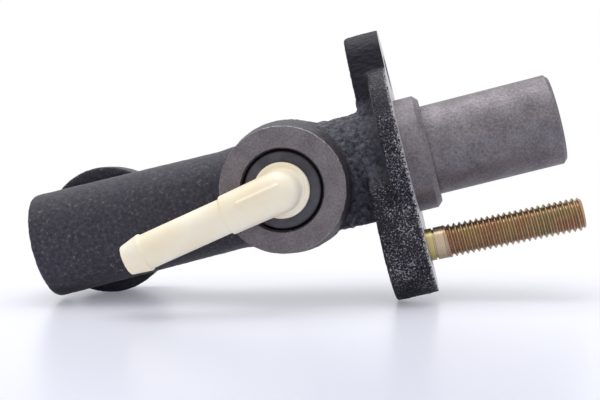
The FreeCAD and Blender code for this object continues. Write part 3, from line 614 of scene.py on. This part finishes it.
wrap, thread_inputs, given = new_shape_tree("rolled_thread", THREAD_SIZES)
grid = add_node(wrap, "GeometryNodeMeshGrid",
                inputs={"Size X": 1.0, "Size Y": 1.0, "Vertices X": STEPS_ALONG,
                        "Vertices Y": STEPS_ROUND}).outputs["Mesh"]
spot = add_node(wrap, "ShaderNodeSeparateXYZ",
                inputs={"Vector": add_node(wrap, "GeometryNodeInputPosition").outputs[0]}).outputs
known = {"grid x": spot["X"], "grid y": spot["Y"], **{label: given[label] for label in THREAD_SIZES}}
for result, operation, *operands in (
        ("share along", "ADD", "grid x", 0.5),
        ("turns", "ADD", "grid y", 0.5),
        ("length", "SUBTRACT", "End", "Start"),
        ("past start", "MULTIPLY", "share along", "length"),
        ("distance", "ADD", "Start", "past start"),
        ("pitches", "DIVIDE", "distance", "Pitch"),
        ("wound", "SUBTRACT", "pitches", "turns"),
        ("phase", "FRACT", "wound"),
        ("from middle", "SUBTRACT", "phase", 0.5),
        ("beside middle", "ABSOLUTE", "from middle"),
        ("rise", "MULTIPLY", "beside middle", 2.0),
        ("past root", "SUBTRACT", "rise", ROOT_FLAT),
        ("up flank", "DIVIDE", "past root", FLANK),
        ("above root", "MAXIMUM", "up flank", 0.0),
        ("climb", "MINIMUM", "above root", 1.0),
        ("below crest", "SUBTRACT", 1.0, "climb"),
        ("from start", "SUBTRACT", "distance", "Start"),
        ("run", "DIVIDE", "from start", "Run in"),
        ("begun", "MINIMUM", "run", 1.0),
        ("begun groove", "MULTIPLY", "below crest", "begun"),
        ("groove", "MULTIPLY", "begun groove", "Depth"),
        ("threaded", "SUBTRACT", "Crest", "groove"),
        ("to end", "SUBTRACT", "End", "distance"),
        ("end share", "DIVIDE", "to end", "Chamfer length"),
        ("before chamfer", "MINIMUM", "end share", 1.0),
        ("into chamfer", "SUBTRACT", 1.0, "before chamfer"),
        ("chamfer", "MULTIPLY", "into chamfer", "Chamfer depth"),
        ("chamfered", "SUBTRACT", "Crest", "chamfer"),
        ("outside", "MINIMUM", "threaded", "chamfered"),
        ("grid share", "ABSOLUTE", "grid x"),
        ("not at end", "LESS_THAN", "grid share", NOT_AT_END),
        ("radius", "MULTIPLY", "outside", "not at end"),
        ("angle", "MULTIPLY", "turns", 2 * math.pi),
        ("cosine", "COSINE", "angle"),
        ("sine", "SINE", "angle"),
        ("y", "MULTIPLY", "radius", "cosine"),
        ("z", "MULTIPLY", "radius", "sine")):
    step = add_node(wrap, "ShaderNodeMath", {"operation": operation},
                    {i: known.get(operand, operand) for i, operand in enumerate(operands)})
    known[result] = step.outputs[0]
wrapped = add_node(wrap, "ShaderNodeCombineXYZ",
                   inputs={"X": known["distance"], "Y": known["y"], "Z": known["z"]}).outputs[0]
placed = add_node(wrap, "GeometryNodeSetPosition", inputs={"Geometry": grid, "Position": wrapped}).outputs[0]
closed = add_node(wrap, "GeometryNodeMergeByDistance",
                  inputs={"Geometry": placed, "Distance": 0.0005 * MM}).outputs[0]
real = add_node(wrap, "GeometryNodeRealizeInstances", inputs={"Geometry": closed}).outputs[0]
finished = add_node(wrap, "GeometryNodeSetMaterial",
                    inputs={"Geometry": real, "Material": given["Finish"]}).outputs[0]
add_node(wrap, "NodeGroupOutput", inputs={0: finished})

# Yellow passivated zinc: a thin gold film over bright zinc, paler on the plain collars by the flange, and
# shifting to brown and pink where its thickness varies along the thread.
yellow_zinc, tree = new_material("yellow_passivated_zinc")
place = add_node(tree, "ShaderNodeTexCoord").outputs["Object"]
film = add_node(tree, "ShaderNodeTexNoise",
                inputs={"Vector": place, "Scale": 1 / (6 * MM), "Detail": 3.0}).outputs["Fac"]
streaks = add_node(tree, "ShaderNodeValToRGB",
                   {"stops": {0.30: "B29585", 0.45: "A98B72", 0.58: "AF9A7C", 0.72: "9E9275"}},
                   {"Fac": film}).outputs["Color"]
from_flange = add_node(tree, "ShaderNodeSeparateXYZ", inputs={"Vector": place}).outputs["X"]
along_collars = add_node(tree, "ShaderNodeMapRange",
                         inputs={"Value": from_flange, "From Max": (THREAD_START + 0.1) * MM}).outputs[0]
collars = add_node(tree, "ShaderNodeValToRGB",
                   {"stops": {0.0: "B5A674", 0.38: "C2B381", 0.44: "BBAA90", 1.0: "C0AE93"}},
                   {"Fac": along_collars}).outputs["Color"]
threaded = add_node(tree, "ShaderNodeMapRange",
                    inputs={"Value": from_flange, "From Min": (THREAD_START - 0.3) * MM,
                            "From Max": (THREAD_START + 0.5) * MM}).outputs[0]
gold = add_node(tree, "ShaderNodeMix", {"data_type": "RGBA"},
                {0: threaded, 6: collars, 7: streaks}).outputs[2]
surface = add_node(tree, "ShaderNodeBsdfPrincipled",
                   inputs={"Base Color": gold, "Metallic": 1.0, "Roughness": 0.32})
add_node(tree, "ShaderNodeOutputMaterial", inputs={"Surface": surface.outputs[0]})

stud_shape = bmesh.new()
stud_shape.from_mesh(shaped_mesh(wrap, thread_inputs, {**THREAD_SIZES, "Finish": yellow_zinc}))
add_turned(stud_shape, [
    (0.1 - STUD_DEPTH, 0), (0.1 - STUD_DEPTH, STUD_RADIUS - 0.05), (0.0, STUD_RADIUS), (1.4, STUD_RADIUS),
    (1.5, STUD_RADIUS - 0.4), (1.75, STUD_RADIUS - 0.4), (1.85, STUD_RADIUS + 0.02),
    (THREAD_START, STUD_RADIUS + 0.04), (THREAD_START + 0.15, STUD_RADIUS - 0.2), (THREAD_START + 0.15, 0)],
           segments=STEPS_ROUND - 1)
stud_place, stud_along = (Vector(part) for part in stud_axis)
stud_turn = Vector((1, 0, 0)).rotation_difference(stud_along).to_matrix().to_4x4()
stud_shape.transform(Matrix.Translation(stud_place * MM) @ stud_turn)
stud = new_object("stud", as_mesh(stud_shape, "stud_thread"), [yellow_zinc])
stud.data.shade_smooth()
stud.data.set_sharp_from_angle(angle=math.radians(35))
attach(stud, "cylinder")
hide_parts("mounting_stud")

# Inlet grommet: a ring of moulded black rubber, pushed into the socket. It grips with a wider foot, and its
# rounded rim leaves a narrow gap to the iron.
GROMMET_TOP = INLET_FACE + 0.4
GROMMET_DEPTH = 5.2
GROMMET_FOOT = SOCKET_RADIUS - 0.01
GROMMET_RIM = 8.45
GROMMET_HOLE = 4.1

grommet_shape = bmesh.new()
add_turned(grommet_shape, [
    (GROMMET_DEPTH, GROMMET_HOLE), (GROMMET_DEPTH, GROMMET_FOOT), (2.9, GROMMET_FOOT), (2.4, GROMMET_RIM),
    (0.5, GROMMET_RIM), (0.15, GROMMET_RIM - 0.15), (0, GROMMET_RIM - 0.5), (0, GROMMET_HOLE + 0.4),
    (0.3, GROMMET_HOLE), (GROMMET_DEPTH, GROMMET_HOLE)], ((INLET_PLACE, GROMMET_TOP, 0), (0, 1, 0)))
bmesh.ops.remove_doubles(grommet_shape, verts=grommet_shape.verts, dist=0.001 * MM)

# Moulded rubber: near black and matt, with a faint bloom that greys it in patches.
moulded_rubber, tree = new_material("moulded_black_rubber")
place = add_node(tree, "ShaderNodeTexCoord").outputs["Object"]
bloom = add_node(tree, "ShaderNodeTexNoise",
                 inputs={"Vector": place, "Scale": 1 / (3 * MM), "Detail": 3.0}).outputs["Fac"]
tone = add_node(tree, "ShaderNodeValToRGB", {"stops": {0.35: "423F45", 0.7: "55525A"}},
                {"Fac": bloom}).outputs["Color"]
surface = add_node(tree, "ShaderNodeBsdfPrincipled",
                   inputs={"Base Color": tone, "Roughness": 0.6, "Specular IOR Level": 0.35})
add_node(tree, "ShaderNodeOutputMaterial", inputs={"Surface": surface.outputs[0]})
grommet = new_object("grommet", as_mesh(grommet_shape, "grommet_moulding"), [moulded_rubber])
grommet.data.shade_smooth()
grommet.data.set_sharp_from_angle(angle=math.radians(50))
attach(grommet, "cylinder")
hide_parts("inlet_grommet")

# Inlet elbow: nylon, injection moulded in one piece about two core pins that meet in the bend. Its stem is
# snapped into the grommet, and its nipple, thicker at the base and barbed at the tip, takes an 8 mm hose.
ELBOW_TURN = math.radians(10.2)
TUBE_PLACE = INLET_FACE - 6.6
BEND_RADIUS = 4.6
BEND_STEPS = 16
BASE_REACH = 12.2
NIPPLE_RADIUS = 3.9
NIPPLE_REACH = 31.5
TIP_REACH = 36.2
STEM_RADIUS = 4.7
STEM_FIT = GROMMET_HOLE - 0.05
STEM_COLLAR = 6.15
BARB = GROMMET_TOP + GROMMET_DEPTH + 0.05
TUBE_CORE = 2.2
STEM_CORE = 2.3
RIDGE_FROM = -1.0
RIDGE_TO = 8.6
RIDGE_RADIUS = 0.32
RIDGE_UP = 1.4
RIDGE_OUT = 4.36
RIDGE_SEGMENTS = 16
ELBOW_VOXEL = 0.22
ELBOW_SOFTENING = 3

tube_start = Vector((INLET_PLACE, TUBE_PLACE, 0))
tube_along = Vector((-math.cos(ELBOW_TURN), 0, -math.sin(ELBOW_TURN)))
tube_axis = (tube_start, tube_along)
elbow_shape = bmesh.new()
add_turned(elbow_shape, [
    (TUBE_PLACE, 0), (TUBE_PLACE, STEM_RADIUS), (GROMMET_TOP - 1.85, STEM_RADIUS),
    (GROMMET_TOP - 1.85, STEM_COLLAR - 0.15), (GROMMET_TOP - 1.55, STEM_COLLAR),
    (GROMMET_TOP - 0.05, STEM_COLLAR), (GROMMET_TOP - 0.05, STEM_FIT), (BARB, STEM_FIT), (BARB, STEM_RADIUS),
    (BARB + 1.4, STEM_FIT), (BARB + 1.4, 0)], INLET_AXIS)
bend = [(-BEND_RADIUS * math.cos(a), BEND_RADIUS * math.sin(a))
        for a in (math.pi * i / BEND_STEPS for i in range(1, BEND_STEPS))]
add_turned(elbow_shape, [(-BEND_RADIUS, 0), *bend, (BEND_RADIUS, 0)], tube_axis)
add_turned(elbow_shape, [
    (0, 0), (0, BEND_RADIUS), (BASE_REACH, BEND_RADIUS - 0.2), (BASE_REACH, NIPPLE_RADIUS),
    (NIPPLE_REACH, NIPPLE_RADIUS), (NIPPLE_REACH, NIPPLE_RADIUS + 0.4), (TIP_REACH, NIPPLE_RADIUS - 0.6),
    (TIP_REACH, 0)], tube_axis)
ridge_up = Vector((0, 1, 0)).cross(tube_along)
ridge_start = tube_start + ridge_up * RIDGE_UP - Vector((0, RIDGE_OUT, 0))
add_turned(elbow_shape, rod(RIDGE_FROM, RIDGE_TO, RIDGE_RADIUS), (ridge_start, tube_along),
           segments=RIDGE_SEGMENTS)

elbow_rough = new_object("elbow_rough", as_mesh(elbow_shape, "elbow_rough"))
soften(elbow_rough, ELBOW_VOXEL, ELBOW_SOFTENING)
core_pins = [
    machine(elbow_rough, "DIFFERENCE", "tube_core", rod(0, 40, TUBE_CORE), tube_axis, HOLE_SEGMENTS),
    machine(elbow_rough, "DIFFERENCE", "stem_core", rod(0, 20, STEM_CORE), (tube_start, (0, 1, 0)),
            HOLE_SEGMENTS)]
elbow_mesh = finished_mesh(elbow_rough, core_pins)

# Natural nylon: cream, satin and slightly translucent, so that light softens its edges. Its tone drifts a
# little.
nylon, tree = new_material("natural_nylon")
place = add_node(tree, "ShaderNodeTexCoord").outputs["Object"]
cloud = add_node(tree, "ShaderNodeTexNoise",
                 inputs={"Vector": place, "Scale": 1 / (9 * MM), "Detail": 2.0}).outputs["Fac"]
cream = add_node(tree, "ShaderNodeValToRGB", {"stops": {0.3: "F9EACD", 0.7: "FFF6E4"}},
                 {"Fac": cloud}).outputs["Color"]
surface = add_node(tree, "ShaderNodeBsdfPrincipled",
                   inputs={"Base Color": cream, "Roughness": 0.35, "Subsurface Weight": 0.25,
                           "Subsurface Radius": (1.0, 0.8, 0.5), "Subsurface Scale": 1.2 * MM})
add_node(tree, "ShaderNodeOutputMaterial", inputs={"Surface": surface.outputs[0]})
elbow = new_object("elbow", elbow_mesh, [nylon])
elbow.data.shade_smooth()
elbow.data.set_sharp_from_angle(angle=math.radians(40))
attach(elbow, "elbow")
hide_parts("inlet_elbow")


# Pieces inside the bore: a turned aluminium piston, washers, a seat and a circlip stamped from spring
# steel, and two moulded rubber cups. They show only through the open spigot: bright aluminium, darker oiled
# steel, matt rubber.
def worked_metal(name, dark, light, grain_size):
    """A worked metal whose tone varies a little over its grain size in millimetres."""
    material, tree = new_material(name)
    place = add_node(tree, "ShaderNodeTexCoord").outputs["Object"]
    grain = add_node(tree, "ShaderNodeTexNoise", inputs={"Vector": place, "Scale": 1 / (grain_size * MM),
                                                         "Detail": 3.0}).outputs["Fac"]
    tone = add_node(tree, "ShaderNodeValToRGB", {"stops": {0.35: dark, 0.65: light}},
                    {"Fac": grain}).outputs["Color"]
    relief = add_node(tree, "ShaderNodeBump",
                      inputs={"Strength": 0.2, "Distance": 0.02 * MM, "Height": grain}).outputs[0]
    surface = add_node(tree, "ShaderNodeBsdfPrincipled",
                       inputs={"Base Color": tone, "Metallic": 1.0, "Roughness": 0.35, "Normal": relief})
    add_node(tree, "ShaderNodeOutputMaterial", inputs={"Surface": surface.outputs[0]})
    return material


turned_aluminium = worked_metal("turned_aluminium", "A8A9AC", "BDBEC2", 0.6)
oiled_spring_steel = worked_metal("oiled_spring_steel", "5A5A60", "77777E", 0.8)
for name, material in {"piston": turned_aluminium, "circlip": oiled_spring_steel,
                       "stop_washer": oiled_spring_steel, "cup_washer": oiled_spring_steel,
                       "spring_seat": oiled_spring_steel, "primary_cup": moulded_rubber,
                       "secondary_cup": moulded_rubber}.items():
    inner_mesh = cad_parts[name].data
    inner_mesh.materials.clear()
    inner_mesh.materials.append(material)

# Return spring: steel wire, cold wound in nine turns between the bore's bottom and the spring seat.
# Geometry Nodes sweep the wire along its spiral.
SPRING_TURNS = 9.0
SPRING_RADIUS = 5.2
WIRE_RADIUS = 0.75

spring_low, spring_high = (Vector(corner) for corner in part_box("return_spring"))
spring_length = spring_high.x - spring_low.x
spring_sizes = {"Turns": SPRING_TURNS, "Mean radius": SPRING_RADIUS * MM, "Wire radius": WIRE_RADIUS * MM,
                "Length": spring_length - 2 * WIRE_RADIUS * MM, "Start": spring_low.x + WIRE_RADIUS * MM}
winding, spring_inputs, given = new_shape_tree("wound_wire", spring_sizes)
spiral = add_node(winding, "GeometryNodeCurveSpiral", inputs={
    "Resolution": 32, "Rotations": given["Turns"], "Start Radius": given["Mean radius"],
    "End Radius": given["Mean radius"], "Height": given["Length"]}).outputs[0]
wire = add_node(winding, "GeometryNodeCurvePrimitiveCircle",
                inputs={"Resolution": 16, "Radius": given["Wire radius"]}).outputs[0]
swept = add_node(winding, "GeometryNodeCurveToMesh",
                 inputs={"Curve": spiral, "Profile Curve": wire, "Fill Caps": True}).outputs[0]
start = add_node(winding, "ShaderNodeCombineXYZ", inputs={"X": given["Start"]}).outputs[0]
laid = add_node(winding, "GeometryNodeTransform",
                inputs={"Geometry": swept, "Translation": start, "Rotation": (0, math.pi / 2, 0)}).outputs[0]
real = add_node(winding, "GeometryNodeRealizeInstances", inputs={"Geometry": laid}).outputs[0]
finished = add_node(winding, "GeometryNodeSetMaterial",
                    inputs={"Geometry": real, "Material": given["Finish"]}).outputs[0]
add_node(winding, "NodeGroupOutput", inputs={0: finished})

spring_mesh = shaped_mesh(winding, spring_inputs, {**spring_sizes, "Finish": oiled_spring_steel})
spring = new_object("spring", spring_mesh, [oiled_spring_steel])
spring.data.shade_smooth()
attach(spring, "cylinder")
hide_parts("return_spring")
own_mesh(spring)
